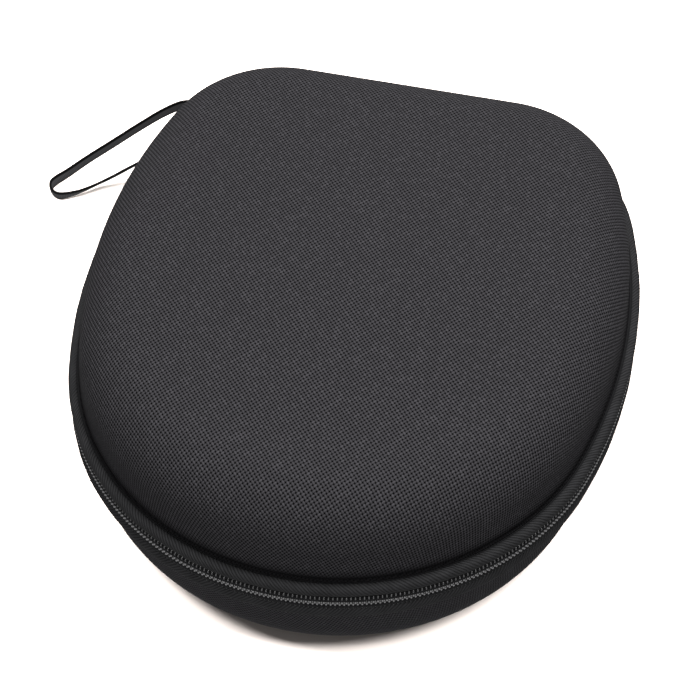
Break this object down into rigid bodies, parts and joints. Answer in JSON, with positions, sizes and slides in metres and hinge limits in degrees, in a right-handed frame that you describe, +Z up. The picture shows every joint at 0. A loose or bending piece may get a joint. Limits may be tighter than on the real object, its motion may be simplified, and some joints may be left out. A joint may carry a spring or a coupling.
{
  "type": "headphone carrying case",
  "caption": "Hard clamshell case for over-ear headphones: woven nylon over moulded foam, coil zip round the rim, fabric hinge, lid net pocket and wrist strap.",
  "frame": {"origin": "centre of the closed case's footprint, on the surface that it stands on", "axes": "+Z up, -Y towards the round front, +Y towards the hinge, +X to the right seen from the front"},
  "size_m": [0.2387, 0.2199, 0.084],
  "materials": {
    "woven_nylon": "black plain-weave nylon, pressed over the foam",
    "eva_foam": "black closed-cell foam",
    "tricot_lining": "black brushed tricot",
    "twill_welt": "black twill piping",
    "zip_tape": "black woven polyester tape",
    "nylon_coil": "black nylon monofilament coil",
    "black_metal": "black electrophoretic paint on zinc alloy",
    "grip_rubber": "black moulded soft grip",
    "binding_tape": "black grosgrain binding",
    "hinge_fabric": "black woven hinge strip",
    "pocket_net": "black open knitted net",
    "pocket_elastic": "black ribbed elastic",
    "strap_ribbon": "dark grey woven ribbon with black edges"
  },
  "bodies": {
    "base": {"base_outer_fabric": "woven_nylon", "base_eva_core": "eva_foam", "base_lining": "tricot_lining", "base_rim_welt": "twill_welt", "base_zip_tape": "zip_tape", "base_zip_coil": "nylon_coil", "base_zip_stop_left": "black_metal", "base_zip_stop_right": "black_metal", "base_rim_binding": "binding_tape", "base_hinge_strip": "hinge_fabric", "strap_tab": "strap_ribbon", "wrist_strap": "strap_ribbon"},
    "lid": {"lid_outer_fabric": "woven_nylon", "lid_eva_core": "eva_foam", "lid_lining": "tricot_lining", "lid_rim_welt": "twill_welt", "lid_zip_tape": "zip_tape", "lid_zip_coil": "nylon_coil", "lid_zip_stop_left": "black_metal", "lid_zip_stop_right": "black_metal", "lid_rim_binding": "binding_tape", "lid_hinge_strip": "hinge_fabric", "lid_pocket_net": "pocket_net", "lid_pocket_elastic": "pocket_elastic"},
    "front_slider": {"front_slider_body": "black_metal"},
    "front_pull": {"front_pull_tab": "black_metal", "front_pull_grip": "grip_rubber"},
    "back_slider": {"back_slider_body": "black_metal"},
    "back_pull": {"back_pull_tab": "black_metal", "back_pull_grip": "grip_rubber"}
  },
  "joints": [
    {"name": "lid_hinge", "type": "hinge", "parent": "base", "child": "lid", "pos_m": [0, 0.1083, 0.042], "axis": [-1, 0, 0], "range_deg": [0, 180]},
    {"name": "front_zip_travel", "type": "hinge", "parent": "base", "child": "front_slider", "pos_m": [0.09404, 0.0124, 0.042], "axis": [0, 0, 1], "range_deg": [0, 31]},
    {"name": "front_pull_swing", "type": "hinge", "parent": "front_slider", "child": "front_pull", "pos_m": [-0.09157, 0.06849, 0.042], "axis": [0, 0, -1], "range_deg": [0, 150]},
    {"name": "back_zip_travel", "type": "hinge", "parent": "base", "child": "back_slider", "pos_m": [-0.0393, 0.057, 0.042], "axis": [0, 0, -1], "range_deg": [0, 42]},
    {"name": "back_pull_swing", "type": "hinge", "parent": "back_slider", "child": "back_pull", "pos_m": [-0.08753, 0.07968, 0.042], "axis": [0, 0, 1], "range_deg": [0, 150]}
  ]
}
